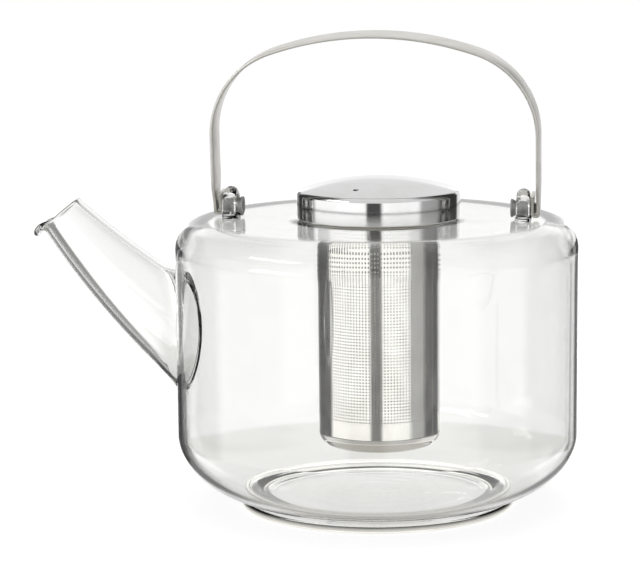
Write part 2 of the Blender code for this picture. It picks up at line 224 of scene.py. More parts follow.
def rod(name: str, radius: float, depth: float, place: Matrix, segments: int = 48) -> bpy.types.Object:
    """A plain cylinder for cutting, along its own Z.

    Args:
        name: Name of the object.
        radius: Its radius.
        depth: Its whole length.
        place: Where its middle goes.
        segments: Number of sides.

    Returns:
        The cylinder.
    """
    shape = bmesh.new()
    bmesh.ops.create_cone(
        shape, cap_ends=True, segments=segments, radius1=radius, radius2=radius, depth=depth, matrix=place
    )
    return settle(name, shape)


def smooth_step(value: float) -> float:
    """Ease from 0 to 1."""
    value = min(max(value, 0.0), 1.0)
    return value * value * (3 - 2 * value)


def dress(piece: bpy.types.Object, finish: bpy.types.Material, body: Body, slot: Slot, *nodes: str) -> None:
    """Give a piece its finish and body, and hide the CAD nodes that it stands for.

    Args:
        piece: The piece.
        finish: Its material.
        body: The body that it moves with.
        slot: Not used.
        nodes: CAD nodes that the piece replaces.
    """
    piece.data.materials.clear()
    piece.data.materials.append(finish)
    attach(piece, body.value)
    if nodes:
        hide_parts(*nodes)
    LOG.info("%s: %d faces, rides on %s", piece.name, len(piece.data.polygons), body.value)


# Finishes


class Tree:
    """A node tree that is being wired up."""

    def __init__(self, tree: bpy.types.NodeTree) -> None:
        """Keep the tree."""
        self.tree = tree

    def add(self, kind: str, **settings: object) -> bpy.types.Node:
        """Add a node.

        Args:
            kind: Node type without its ShaderNode prefix.
            settings: Properties of the node; a name that is no property sets the input of that name.

        Returns:
            The node.
        """
        node = self.tree.nodes.new("ShaderNode" + kind)
        for key, value in settings.items():
            if hasattr(node, key):
                setattr(node, key, value)
            else:
                node.inputs[key.replace("_", " ")].default_value = value
        return node

    def link(self, source: bpy.types.NodeSocket, target: bpy.types.NodeSocket) -> None:
        """Link an output to an input."""
        self.tree.links.new(source, target)

    def scaled(self, source: bpy.types.NodeSocket, low: float, high: float) -> bpy.types.NodeSocket:
        """Spread a 0 to 1 value between two numbers.

        Args:
            source: The value.
            low: Result at 0.
            high: Result at 1.

        Returns:
            The output.
        """
        spread = self.add("MapRange")
        spread.inputs["To Min"].default_value = low
        spread.inputs["To Max"].default_value = high
        self.link(source, spread.inputs["Value"])
        return spread.outputs["Result"]

    def blended(self, mask: bpy.types.NodeSocket, first: Colour, second: Colour) -> bpy.types.NodeSocket:
        """Mix two colours by a mask.

        Args:
            mask: The mask.
            first: Colour where the mask is 0.
            second: Colour where it is 1.

        Returns:
            The colour output.
        """
        mix = self.add("Mix", data_type="RGBA")
        mix.inputs[6].default_value = (*first, 1.0)
        mix.inputs[7].default_value = (*second, 1.0)
        self.link(mask, mix.inputs[0])
        return mix.outputs[2]

    def mask(
        self, source: bpy.types.NodeSocket, none: float, full: float, soft: bool = False
    ) -> bpy.types.NodeSocket:
        """Turn a value into a mask.

        Args:
            source: The value.
            none: Value at which the mask is 0.
            full: Value at which it is 1.
            soft: Whether the change eases in and out.

        Returns:
            The mask.
        """
        change = self.add("MapRange", interpolation_type="SMOOTHSTEP" if soft else "LINEAR")
        change.inputs["From Min"].default_value = none
        change.inputs["From Max"].default_value = full
        self.link(source, change.inputs["Value"])
        return change.outputs["Result"]

    def product(self, first: bpy.types.NodeSocket, second: bpy.types.NodeSocket) -> bpy.types.NodeSocket:
        """Multiply two values.

        Args:
            first: One value.
            second: The other.

        Returns:
            The output.
        """
        times = self.add("Math", operation="MULTIPLY")
        self.link(first, times.inputs[0])
        self.link(second, times.inputs[1])
        return times.outputs[0]

    def weighted(
        self, source: bpy.types.NodeSocket, weight: float, added: bpy.types.NodeSocket
    ) -> bpy.types.NodeSocket:
        """Add a weighted value to another.

        Args:
            source: The value that is weighted.
            weight: Its weight.
            added: The value it is added to.

        Returns:
            The output.
        """
        total = self.add("Math", operation="MULTIPLY_ADD")
        self.link(source, total.inputs[0])
        total.inputs[1].default_value = weight
        self.link(added, total.inputs[2])
        return total.outputs[0]


def start_group(name: str, inputs: dict[str, float], outputs: list[str]) -> tuple[Tree, dict, dict]:
    """Make an empty shader group with a vector input and float sockets.

    Args:
        name: Name of the group.
        inputs: Names and defaults of the float inputs.
        outputs: Names of the float outputs.

    Returns:
        The tree, the group's input sockets by name and its output sockets by name.
    """
    group = bpy.data.node_groups.new(name, "ShaderNodeTree")
    group.interface.new_socket("Vector", in_out="INPUT", socket_type="NodeSocketVector")
    for key, value in inputs.items():
        socket = group.interface.new_socket(key, in_out="INPUT", socket_type="NodeSocketFloat")
        socket.default_value = value
    for key in outputs:
        group.interface.new_socket(key, in_out="OUTPUT", socket_type="NodeSocketFloat")
    tree = Tree(group)
    entry = group.nodes.new("NodeGroupInput")
    exit_node = group.nodes.new("NodeGroupOutput")
    return tree, dict(entry.outputs.items()), dict(exit_node.inputs.items())


def grain_group() -> bpy.types.NodeTree:
    """Brushing: fine lines across the first axis of the vector, drawn out along the second.

    Returns:
        The group, with a Lines value and a Height.
    """
    tree, given, put = start_group(
        "brushed_lines", {"Lines per metre": 4000.0, "Draw": 60.0}, ["Lines", "Height"]
    )
    parts = tree.add("SeparateXYZ")
    tree.link(given["Vector"], parts.inputs[0])
    place = tree.add("CombineXYZ")
    tree.link(tree.product(parts.outputs["X"], given["Lines per metre"]), place.inputs["X"])
    tree.link(tree.product(parts.outputs["Y"], given["Draw"]), place.inputs["Y"])
    lines = tree.add("TexNoise", noise_dimensions="2D", Scale=1.0, Detail=4.0, Roughness=0.7)
    tree.link(place.outputs[0], lines.inputs["Vector"])
    tree.link(lines.outputs["Fac"], put["Lines"])
    tree.link(lines.outputs["Fac"], put["Height"])
    return tree.tree


def marks_group() -> bpy.types.NodeTree:
    """Handling marks: soft cloudy patches with fine specks in them.

    Returns:
        The group, with a Patches value and a Specks value.
    """
    tree, given, put = start_group(
        "handling_marks", {"Patch scale": 60.0, "Speck scale": 900.0}, ["Patches", "Specks"]
    )
    cloud = tree.add("TexNoise", Detail=5.0, Roughness=0.6, Distortion=0.8)
    tree.link(given["Vector"], cloud.inputs["Vector"])
    tree.link(given["Patch scale"], cloud.inputs["Scale"])
    tree.link(tree.mask(cloud.outputs["Fac"], none=0.38, full=0.66, soft=True), put["Patches"])
    dots = tree.add("TexNoise", Detail=2.0, Roughness=0.5)
    tree.link(given["Vector"], dots.inputs["Vector"])
    tree.link(given["Speck scale"], dots.inputs["Scale"])
    tree.link(tree.mask(dots.outputs["Fac"], none=0.62, full=0.72), put["Specks"])
    return tree.tree


def draw_group() -> bpy.types.NodeTree:
    """Blown glass: long soft waves up the wall, a swirl of rings in the base and the foot's ground edge.

    Returns:
        The group, with a Waves height, a Swirl height and a Ground mask.
    """
    tree, given, put = start_group(
        "drawn_glass", {"Wave scale": 28.0, "Swirl scale": 46.0}, ["Waves", "Swirl", "Ground"]
    )
    stretch = tree.add("VectorMath", operation="MULTIPLY")
    stretch.inputs[1].default_value = (1.0, 1.0, 0.35)
    tree.link(given["Vector"], stretch.inputs[0])
    waves = tree.add("TexNoise", Detail=1.5, Roughness=0.4, Distortion=0.3)
    tree.link(stretch.outputs[0], waves.inputs["Vector"])
    tree.link(given["Wave scale"], waves.inputs["Scale"])
    tree.link(waves.outputs["Fac"], put["Waves"])
    parts = tree.add("SeparateXYZ")
    tree.link(given["Vector"], parts.inputs[0])
    flat = tree.add("CombineXYZ")
    tree.link(parts.outputs["X"], flat.inputs["X"])
    tree.link(parts.outputs["Y"], flat.inputs["Y"])
    rings = tree.add("TexWave", wave_type="RINGS", rings_direction="SPHERICAL", Distortion=5.0, Detail=1.0)
    tree.link(flat.outputs[0], rings.inputs["Vector"])
    tree.link(given["Swirl scale"], rings.inputs["Scale"])
    base = tree.mask(parts.outputs["Z"], none=9 * MM, full=2 * MM, soft=True)
    tree.link(tree.product(rings.outputs["Fac"], base), put["Swirl"])
    reach = tree.add("VectorMath", operation="LENGTH")
    tree.link(flat.outputs[0], reach.inputs[0])
    low = tree.mask(parts.outputs["Z"], none=2.6 * MM, full=1.4 * MM)
    outer = tree.mask(reach.outputs["Value"], none=49 * MM, full=50 * MM)
    tree.link(tree.product(low, outer), put["Ground"])
    return tree.tree


@dataclass(frozen=True)
class Groups:
    """The shared shader groups, built once."""

    grain: bpy.types.NodeTree
    marks: bpy.types.NodeTree
    drawn: bpy.types.NodeTree


def start_material(name: str) -> tuple[bpy.types.Material, Tree, bpy.types.Node]:
    """Make a material with a Principled shader.

    Args:
        name: Name of the material.

    Returns:
        The material, its tree and its Principled node.
    """
    material = bpy.data.materials.new(name)
    material.use_nodes = True
    return material, Tree(material.node_tree), material.node_tree.nodes["Principled BSDF"]


def place_group(
    tree: Tree, group: bpy.types.NodeTree, vector: bpy.types.NodeSocket, **values: float
) -> bpy.types.Node:
    """Put a shared group in a material.

    Args:
        tree: The material's tree.
        group: The shared group.
        vector: What its Vector reads.
        values: Its inputs, with underscores for spaces.

    Returns:
        The group node.
    """
    node = tree.add("Group", node_tree=group)
    tree.link(vector, node.inputs["Vector"])
    for key, value in values.items():
        node.inputs[key.replace("_", " ")].default_value = value
    return node


@dataclass(frozen=True)
class ClearGlass:
    """Hand-finished borosilicate glass."""

    name: str = "clear_glass"
    tint: Colour = (0.998, 0.998, 0.996)
    dull_tint: Colour = (0.985, 0.988, 0.982)
    wave_depth: float = 0.05 * MM
    swirl_depth: float = 0.015 * MM
    ior: float = 1.474
    absorbed: Colour = (0.36, 0.36, 0.24)
    density: float = 9.0
    handled_roughness: float = 0.012
    ground_roughness: float = 0.3
    # Painted light: a pale emission colour that makes the ground foot edge glow brighter
    painted_foot_light: Colour = (0.56, 0.55, 0.51)

    def build(self, groups: Groups) -> bpy.types.Material:
        """Make the material: clear, with soft waves, a swirl in the base, faint marks, and a ground foot edge
        that glows with painted light.

        Args:
            groups: The shared shader groups.

        Returns:
            The material.
        """
        material, tree, shader = start_material(self.name)
        shader.inputs["Transmission Weight"].default_value = 1.0
        shader.inputs["IOR"].default_value = self.ior
        where = tree.add("TexCoord").outputs["Object"]
        drawn = place_group(tree, groups.drawn, where)
        marks = place_group(tree, groups.marks, where, Patch_scale=35.0, Speck_scale=700.0)
        tint = tree.blended(marks.outputs["Patches"], self.tint, self.dull_tint)
        tree.link(tint, shader.inputs["Base Color"])
        handled = tree.scaled(marks.outputs["Patches"], 0.0, self.handled_roughness)
        gloss = tree.weighted(drawn.outputs["Ground"], self.ground_roughness, handled)
        tree.link(gloss, shader.inputs["Roughness"])
        # Painted light: the ground foot edge glows with a pale emission, on top of its real rougher grind
        glow = tree.blended(drawn.outputs["Ground"], (0.0, 0.0, 0.0), self.painted_foot_light)
        tree.link(glow, shader.inputs["Emission Color"])
        shader.inputs["Emission Strength"].default_value = 1.0
        swirl = tree.add("Bump", Distance=self.swirl_depth)
        tree.link(drawn.outputs["Swirl"], swirl.inputs["Height"])
        waves = tree.add("Bump", Distance=self.wave_depth)
        tree.link(drawn.outputs["Waves"], waves.inputs["Height"])
        tree.link(swirl.outputs["Normal"], waves.inputs["Normal"])
        tree.link(waves.outputs["Normal"], shader.inputs["Normal"])
        depth = tree.add("VolumeAbsorption", Density=self.density)
        depth.inputs["Color"].default_value = (*self.absorbed, 1.0)
        tree.link(depth.outputs["Volume"], tree.tree.nodes["Material Output"].inputs["Volume"])
        return material


@dataclass(frozen=True)
class Steel:
    """Stainless steel, polished or brushed."""

    name: str
    colour: Colour
    dull_colour: Colour
    smooth: float
    rough: float
    line_depth: float
    lines: float = 4000.0
    draw: float = 0.0
    patches: float = 60.0
    wear: float = 0.3
    by_lay: bool = True

    def build(self, groups: Groups) -> bpy.types.Material:
        """Make the material: brushed lines that vary its gloss, and cloudy handling marks.

        Args:
            groups: The shared shader groups.

        Returns:
            The material.
        """
        material, tree, shader = start_material(self.name)
        shader.inputs["Metallic"].default_value = 1.0
        where = tree.add("TexCoord").outputs["Object"]
        lay = tree.add("Attribute", attribute_name=LAY).outputs["Vector"] if self.by_lay else where
        grain = place_group(tree, groups.grain, lay, Lines_per_metre=self.lines, Draw=self.draw)
        marks = place_group(tree, groups.marks, where, Patch_scale=self.patches)
        colour = tree.blended(marks.outputs["Patches"], self.colour, self.dull_colour)
        tree.link(colour, shader.inputs["Base Color"])
        worn = tree.weighted(marks.outputs["Patches"], self.wear, grain.outputs["Lines"])
        tree.link(tree.scaled(worn, self.smooth, self.rough), shader.inputs["Roughness"])
        bump = tree.add("Bump", Distance=self.line_depth)
        tree.link(grain.outputs["Height"], bump.inputs["Height"])
        tree.link(bump.outputs["Normal"], shader.inputs["Normal"])
        return material


@dataclass(frozen=True)
class Silicone:
    """Milky silicone rubber."""

    name: str = "milky_silicone"
    colour: Colour = (0.78, 0.79, 0.78)
    dusty: Colour = (0.7, 0.7, 0.68)
    tooth: float = 0.02 * MM

    def build(self, groups: Groups) -> bpy.types.Material:
        """Make the material: soft, slightly dusty, with a fine matt tooth.

        Args:
            groups: The shared shader groups.

        Returns:
            The material.
        """
        material, tree, shader = start_material(self.name)
        shader.inputs["Subsurface Weight"].default_value = 0.2
        shader.inputs["Subsurface Scale"].default_value = 2 * MM
        where = tree.add("TexCoord").outputs["Object"]
        marks = place_group(tree, groups.marks, where, Patch_scale=150.0, Speck_scale=2500.0)
        colour = tree.blended(marks.outputs["Specks"], self.colour, self.dusty)
        tree.link(colour, shader.inputs["Base Color"])
        tree.link(tree.scaled(marks.outputs["Patches"], 0.42, 0.6), shader.inputs["Roughness"])
        bump = tree.add("Bump", Distance=self.tooth)
        tree.link(marks.outputs["Specks"], bump.inputs["Height"])
        tree.link(bump.outputs["Normal"], shader.inputs["Normal"])
        return material


STEELS = (
    Steel(
        "polished_steel", colour=(0.80, 0.80, 0.80), dull_colour=(0.76, 0.76, 0.75),
        smooth=0.05, rough=0.12, line_depth=0.002 * MM,
    ),
    Steel(
        "satin_steel", colour=(0.90, 0.885, 0.85), dull_colour=(0.84, 0.825, 0.785),
        smooth=0.07, rough=0.15, line_depth=0.002 * MM,
    ),
    Steel(
        "pierced_sheet", colour=(0.93, 0.92, 0.885), dull_colour=(0.87, 0.855, 0.815),
        smooth=0.06, rough=0.13, line_depth=0.001 * MM, lines=1500.0, draw=25.0,
    ),
    # Painted shade: a near-black steel for the sleeve's inside and its hole walls, standing in for the shade
    # inside the basket and in the holes
    Steel(
        "pierced_sheet_painted_shade", colour=(0.09, 0.085, 0.08), dull_colour=(0.06, 0.058, 0.055),
        smooth=0.35, rough=0.5, line_depth=0.002 * MM, by_lay=False,
    ),
    Steel(
        "rivet_steel", colour=(0.50, 0.50, 0.495), dull_colour=(0.42, 0.42, 0.415),
        smooth=0.42, rough=0.58, line_depth=0.004 * MM,
    ),
    Steel(
        "brushed_strap", colour=(0.80, 0.785, 0.74), dull_colour=(0.75, 0.735, 0.69),
        smooth=0.26, rough=0.42, line_depth=0.006 * MM, lines=5000.0, draw=30.0,
    ),
    Steel(
        "liner_steel", colour=(0.70, 0.69, 0.67), dull_colour=(0.64, 0.63, 0.61),
        smooth=0.18, rough=0.3, line_depth=0.003 * MM, by_lay=False,
    ),
)


# The pot


@dataclass
class GlassVessel:
    """The blown vessel with its foot, spout and two handle loops, fused into one glass."""

    segments: int = 224
    radius: float = 75 * MM
    top: float = 107.8 * MM
    wall: float = 2.0 * MM
    base: float = 1.5 * MM
    base_flat: float = 33 * MM
    base_corner: float = 26 * MM
    shoulder: float = 10.5 * MM
    mouth: float = 24.5 * MM
    bead: float = 1.3 * MM
    foot: float = 51.5 * MM
    foot_height: float = 3.2 * MM
    foot_edge: float = 1.3 * MM
    foot_notch: float = 0.9 * MM
    underside: float = 0.5 * MM
    standing_edge: tuple[Point, ...] = ((7.6 * MM, 0.4 * MM), (6.6 * MM, 0.1 * MM), (5.6 * MM, 0.0))
    fused_edge: tuple[Point, ...] = ((1.9 * MM, 0.02 * MM), (2.2 * MM, 0.25 * MM))
    shell_inset: float = 1.4 * MM
    shoulder_extra: float = 1.5 * MM
    top_step: float = 5 * MM
    ceiling_step: float = 4.5 * MM
    bead_end: float = 248.0
    opening_spare: float = 0.5 * MM

    def outline(self) -> list[Point]:
        """Outline of shell and foot from the underside's centre to the inner floor's centre.

        The standing edge and the fused edge are given as distance in from the foot's rim and height.

        Returns:
            The closed outline.
        """
        low = self.base + self.base_corner
        corner = self.radius - self.base_flat
        top_centre = (self.radius - self.shoulder, self.top - self.shoulder)
        inner = self.shoulder + self.shoulder_extra
        inner_centre = (self.radius - self.wall - inner, self.top - self.wall - inner)
        rim = self.foot_edge
        notch = self.foot_notch
        points = [(self.foot * share, self.underside) for share in (0.0, 0.2, 0.4, 0.6, 0.8)]
        points += [(self.foot - inset, height) for inset, height in self.standing_edge]
        points += arc((self.foot - rim, rim), (rim, rim), -90, 0, 8)
        points += arc((self.foot - notch, self.foot_height - notch), (notch, notch), 0, 90, 5)
        points += [(self.foot - inset, self.foot_height + height) for inset, height in self.fused_edge]
        start = -math.degrees(math.acos((self.foot - self.shell_inset - self.base_flat) / corner))
        points += arc((self.base_flat, low), (corner, self.base_corner), start, 0, 36)
        points += [(self.radius, low + (top_centre[1] - low) * step / 8) for step in range(1, 8)]
        points += arc(top_centre, (self.shoulder, self.shoulder), 0, 90, 16)
        points += [(top_centre[0] - step * self.top_step, self.top) for step in range(1, 8)]
        bead_centre = (self.mouth + self.bead, self.top - self.bead)
        points += arc(bead_centre, (self.bead, self.bead), 90, self.bead_end, 12)
        ceiling = self.top - self.wall
        points += [(inner_centre[0] - step * self.ceiling_step, ceiling) for step in range(7, 0, -1)]
        points += arc(inner_centre, (inner, inner), 90, 0, 20)
        bore = self.radius - self.wall
        points += [(bore, low + (inner_centre[1] - low) * step / 8) for step in range(7, 0, -1)]
        points += arc((self.base_flat, low), (corner - self.wall, self.base_corner - self.wall), 0, -90, 36)
        points += [(self.base_flat * share, self.base + self.wall) for share in (0.75, 0.5, 0.25)]
        points.append((0, self.base + self.wall))
        return points

    def build(self, finish: bpy.types.Material) -> None:
        """Fuse shell, spout and loops, and dress the result.

        Args:
            finish: The glass.
        """
        vessel = settle("glass_vessel", turned(self.outline(), self.segments))
        spout = Spout()
        combine(vessel, settle("spout_opening", spout.channel(self.opening_spare)), "DIFFERENCE")
        combine(vessel, spout.tube(self.radius - self.wall / 2), "UNION")
        for side in (-1, 1):
            combine(vessel, HandleLoop().build(side, self.top), "UNION")
        dress(
            vessel, finish, Body.VESSEL, Slot.GLASS,
            "glass_base", "glass_wall", "glass_shoulder", "foot_disc", "spout", "spout_side_lug", "rear_lug",
        )


@dataclass
class Spout:
    """The tapering spout, which curls over into a drip lip at its lower side."""

    vessel_radius: float = 75 * MM
    root_height: float = 66 * MM
    root_angle: float = math.radians(37)
    turn: float = math.radians(12)
    length: float = 60 * MM
    root_radius: float = 16.9 * MM
    tip_radius: float = 9.0 * MM
    wall: float = 1.8 * MM
    flare: float = 1.2 * MM
    lip_bend: float = 1.88 * MM
    lip_turn: float = math.radians(125)
    lip_rise: float = 1.2 * MM
    lip_steps: int = 14
    flare_reach: float = 2.5 * MM
    sunk: float = 16 * MM
    channel_start: float = -26 * MM
    channel_length: float = 36 * MM
    count: int = 72

    def frame_at(self, distance: float) -> tuple[Vector, Vector]:
        """Place on the curved axis.

        Args:
            distance: Distance from the root.

        Returns:
            The axis's point there, and the direction square to it on the lower side.
        """
        bend = self.length / self.turn
        angle = self.root_angle + distance / bend
        across = bend * (math.sin(angle) - math.sin(self.root_angle))
        up = bend * (math.cos(self.root_angle) - math.cos(angle))
        centre = Vector((-self.vessel_radius - across, 0, self.root_height + up))
        return centre, Vector((-math.sin(angle), 0, -math.cos(angle)))

    def radius_at(self, distance: float) -> float:
        """Outer radius at a distance from the root."""
        return self.root_radius + (self.tip_radius - self.root_radius) * distance / self.length

    def ring(self, distance: float, radius: float, flare: float = 0.0) -> Ring:
        """One ring of the tube.

        Args:
            distance: Distance from the root.
            radius: Radius of the ring.
            flare: How much it widens where it meets the vessel.

        Returns:
            The ring's points.
        """
        centre, below = self.frame_at(distance)
        ring = []
        for index in range(self.count):
            angle = math.tau * index / self.count
            direction = below * math.cos(angle) + Vector((0, 1, 0)) * math.sin(angle)
            point = centre + direction * radius
            clearance = max(math.hypot(point.x, point.y) - self.vessel_radius, 0.0)
            ring.append(point + direction * flare * math.exp(-clearance / self.flare_reach))
        return ring

    def lip_ring(self, share: float, depth: float, ahead: float = 0.0) -> Ring:
        """One ring past the tip.

        Args:
            share: How far along the lip, from 0 to 1.
            depth: Distance in from the outer surface, square to it.
            ahead: Distance on past that point, along the surface.

        Returns:
            The ring's points.
        """
        centre, below = self.frame_at(self.length)
        onward = Vector((below.z, 0, -below.x))
        ring = []
        for index in range(self.count):
            angle = math.tau * index / self.count
            direction = below * math.cos(angle) + Vector((0, 1, 0)) * math.sin(angle)
            pull = max(math.cos(angle), 0.0) ** 3
            turn = self.lip_turn * share * pull
            advance = self.lip_bend * math.sin(turn) + self.lip_rise * share * (1 - pull)
            advance += depth * math.sin(turn) + ahead * math.cos(turn)
            outward = self.lip_bend * (1 - math.cos(turn)) - depth * math.cos(turn) + ahead * math.sin(turn)
            ring.append(centre + direction * (self.tip_radius + outward) + onward * advance)
        return ring

    def channel(self, spare: float) -> bmesh.types.BMesh:
        """Plug that opens the vessel's wall.

        Args:
            spare: How much wider than the bore it is, all round.

        Returns:
            The plug.
        """
        rings = []
        for step in range(12):
            distance = self.channel_start + self.channel_length * step / 11
            rings.append(self.ring(distance, self.radius_at(distance) - self.wall + spare))
        return skin(rings)

    def tube(self, root: float) -> bpy.types.Object:
        """The hollow spout, trimmed inside the vessel's wall.

        Args:
            root: Radius of the upright cylinder that trims it.

        Returns:
            The spout, ready to be fused.
        """
        outer = []
        inner = []
        steps = 52
        for step in range(steps + 1):
            distance = -self.sunk + (self.length + self.sunk) * step / steps
            radius = self.radius_at(distance)
            outer.append(self.ring(distance, radius, self.flare))
            inner.append(self.ring(distance, radius - self.wall))
        for step in range(1, self.lip_steps + 1):
            outer.append(self.lip_ring(step / self.lip_steps, 0.0))
            inner.append(self.lip_ring(step / self.lip_steps, self.wall))
        half = self.wall / 2
        rim = []
        for step in range(1, 8):
            angle = math.pi * step / 8
            rim.append(self.lip_ring(1.0, half * (1 - math.cos(angle)), half * math.sin(angle)))
        tube = settle("spout_tube", skin(outer + rim + inner[::-1], closed_path=True))
        combine(tube, rod("spout_trim", root, 0.4, Matrix.Identity(4), 256), "DIFFERENCE")
        return tube


@dataclass
class HandleLoop:
    """A glass loop on the shoulder that carries one end of the handle."""

    hinge: float = 112 * MM
    centre: float = 54.7 * MM
    half_thickness: float = 2.5 * MM
    hole: float = 3.1 * MM
    half_rod: float = 2.1 * MM
    sunk: float = 1.0 * MM
    foot_spread: float = 1.3 * MM
    foot_rise: float = 1.6 * MM
    count: int = 28

    def build(self, side: int, top: float) -> bpy.types.Object:
        """Make the loop on one side, its feet sunk into the vessel's top.

        Args:
            side: -1 for the spout's side, 1 for the rear.
            top: Height of the vessel's top.

        Returns:
            The loop, ready to be fused.
        """
        path_radius = self.hole + self.half_rod
        drop = top - self.hinge
        path = [(-path_radius, drop - self.sunk, self.foot_spread)]
        for step in range(7):
            spread = self.foot_spread * (1 - step / 6) ** 2.5
            path.append((-path_radius, drop + self.foot_rise * step / 6, spread))
        for step in range(25):
            angle = math.pi * (1 - step / 24)
            path.append((path_radius * math.cos(angle), path_radius * math.sin(angle), 0.0))
        path += [(-y, z, spread) for y, z, spread in reversed(path[:8])]
        rings = []
        for along_y, along_z, extra in path:
            outward = Vector((0, along_y, max(along_z, 0.0))).normalized()
            ring = []
            for index in range(self.count):
                angle = math.tau * index / self.count
                across = (self.half_rod + extra) * math.cos(angle)
                along_x = self.half_thickness * math.sin(angle)
                inward = -side * along_x > 0
                along_x *= 1 + extra / self.half_thickness * (1.0 if inward else 0.1)
                ring.append(Vector((along_x, along_y, along_z)) + outward * across)
            rings.append(ring)
        place = Matrix.Translation((side * self.centre, 0, self.hinge))
        return settle("loop", skin(rings), place)


@dataclass
class BailHandle:
    """The steel strap handle with its two hollow rivets."""

    hinge: float = 112 * MM
    lean: float = math.radians(5)
    thick: float = 1.2 * MM
    leg_x: float = 60.2 * MM
    return_x: float = 58.1 * MM
    return_top: float = 117.2 * MM
    fold_bottom: float = 108.5 * MM
    crown_height: float = 176.2 * MM
    crown_radius: float = 118 * MM
    corner_height: float = 139 * MM
    half_width: float = 7 * MM
    taper: float = 10 * MM
    end_radius: float = 3.9 * MM
    end_half_width: float = 1.5 * MM
    edge_round: float = 0.42 * MM
    even_length: float = 14 * MM
    corner_approach: float = 5 * MM
    neck: float = 1.3 * MM
    hole_spare: float = 0.25 * MM

    @property
    def place(self) -> Matrix:
        """Where the handle's own frame sits at rest."""
        return Matrix.Translation((0, 0, self.hinge)) @ Matrix.Rotation(self.lean, 4, "X")

    def path(self) -> list[Point]:
        """Centreline of half the strap, from the top of the return plate to the crown."""
        fold = (self.leg_x - self.return_x) / 2
        fold_height = self.fold_bottom + self.thick / 2 + fold
        crown_centre = self.crown_height - self.crown_radius
        rise = self.corner_height - crown_centre
        reach = self.crown_radius**2 - self.leg_x**2 - rise**2
        corner = reach / (2 * (self.crown_radius - self.leg_x))
        tangent = math.degrees(math.atan2(rise, self.leg_x - corner))
        path = []
        for step in range(18):
            path.append((self.return_x, self.return_top + (fold_height - self.return_top) * step / 18))
        path += arc((self.return_x + fold, fold_height), (fold, fold), 180, 360, 14)
        for step in range(1, 25):
            path.append((self.leg_x, fold_height + self.even_length * step / 24))
        path.append((self.leg_x, self.corner_height - self.corner_approach))
        path += arc((self.leg_x - corner, self.corner_height), (corner, corner), 0, tangent, 32)
        path += arc((0, crown_centre), (self.crown_radius, self.crown_radius), tangent, 90, 24)[1:]
        return path

    def half_width_at(self, height: float) -> float:
        """Half the strap's width, which is rounded round the pivot and full a little above it.

        Args:
            height: Height in the frame.

        Returns:
            The half width.
        """
        below = self.hinge - height + self.thick / 2
        rounded = math.sqrt(max(self.end_radius**2 - max(below, 0.0) ** 2, self.end_half_width**2))
        if height < self.hinge:
            return rounded
        return rounded + (self.half_width - rounded) * smooth_step((height - self.hinge) / self.taper)

    def section(self, half_width: float) -> list[Point]:
        """The strap's rounded section.

        Args:
            half_width: Half its width.

        Returns:
            Place across the strap and depth in it, of each point.
        """
        round_off = self.edge_round
        thick = self.thick / 2
        points = []
        for across, depth, start in ((1, 1, 0), (-1, 1, 90), (-1, -1, 180), (1, -1, 270)):
            centre = (across * (half_width - round_off), depth * (thick - round_off))
            points += arc(centre, (round_off, round_off), start, start + 90, 4)
        return points

    def strap(self) -> bpy.types.Object:
        """The strap itself, folded back inside both legs, with its two rivet holes."""
        half = self.path()
        path = [Vector((x, 0, z)) for x, z in half + [(-x, z) for x, z in reversed(half[:-1])]]
        rings = []
        for index, point in enumerate(path):
            along = (path[min(index + 1, len(path) - 1)] - path[max(index - 1, 0)]).normalized()
            normal = Vector((along.z, 0, -along.x))
            base = point - Vector((0, 0, self.hinge))
            section = self.section(self.half_width_at(point.z))
            rings.append([base + Vector((0, across, 0)) + normal * depth for across, depth in section])
        strap = settle("strap", skin(rings))
        for side in (-1, 1):
            place = Matrix.Translation((side * self.return_x, 0, 0)) @ Matrix.Rotation(math.pi / 2, 4, "Y")
            hole = rod("hole", self.neck + self.hole_spare, self.thick + 0.8 * MM, place)
            combine(strap, hole, "DIFFERENCE")
        strap.data.transform(self.place)
        return strap

    def rivet(self, side: int, name: str) -> bpy.types.Object:
        """A hollow rivet whose lip is rolled over inside the glass loop.

        Args:
            side: -1 for the spout's side, 1 for the rear.
            name: Name of the piece.

        Returns:
            The rivet in its place.
        """
        plate_inner = self.return_x - self.thick / 2
        plate_outer = self.return_x + self.thick / 2
        shank = 2.6 * MM
        bore = 1.5 * MM
        lip_start = 50.0 * MM
        shank_end = plate_inner - 0.2 * MM
        head = plate_outer + 0.15 * MM
        outline = [(bore, lip_start + 0.5 * MM), (bore + 0.4 * MM, lip_start + 0.1 * MM)]
        outline += arc((3.2 * MM, lip_start + 0.2 * MM), (0.2 * MM, 0.2 * MM), 270, 372, 5)
        for step in range(1, 7):
            flare = 0.8 * MM * (1 - smooth_step(step / 6))
            outline.append((shank + flare, lip_start + 0.25 * MM + 2.0 * MM * step / 6))
        outline += [(shank, shank_end - 0.15 * MM), (shank - 0.15 * MM, shank_end)]
        outline += [(self.neck, shank_end), (self.neck, head), (2.0 * MM, head)]
        outline += arc((1.7 * MM, head + 0.15 * MM), (0.4 * MM, 0.25 * MM), 0, 90, 4)
        outline += [(0, head + 0.4 * MM), (0, shank_end - 1.0 * MM), (bore, shank_end - 1.0 * MM)]
        turn = Matrix.Rotation(side * math.pi / 2, 4, "Y")
        return settle(name, turned(outline, 64), self.place @ turn)

    def build(self, strap_finish: bpy.types.Material, rivet_finish: bpy.types.Material) -> None:
        """Make and dress the strap and both rivets.

        Args:
            strap_finish: Finish of the strap.
            rivet_finish: Finish of the rivets.
        """
        strap = self.strap()
        strap.name = "bail_strap"
        dress(strap, strap_finish, Body.HANDLE, Slot.POLISHED, "handle_strap")
        for side, node in ((-1, "spout_side_pivot"), (1, "rear_pivot")):
            rivet = self.rivet(side, node.replace("pivot", "rivet"))
            dress(rivet, rivet_finish, Body.HANDLE, Slot.POLISHED, node)


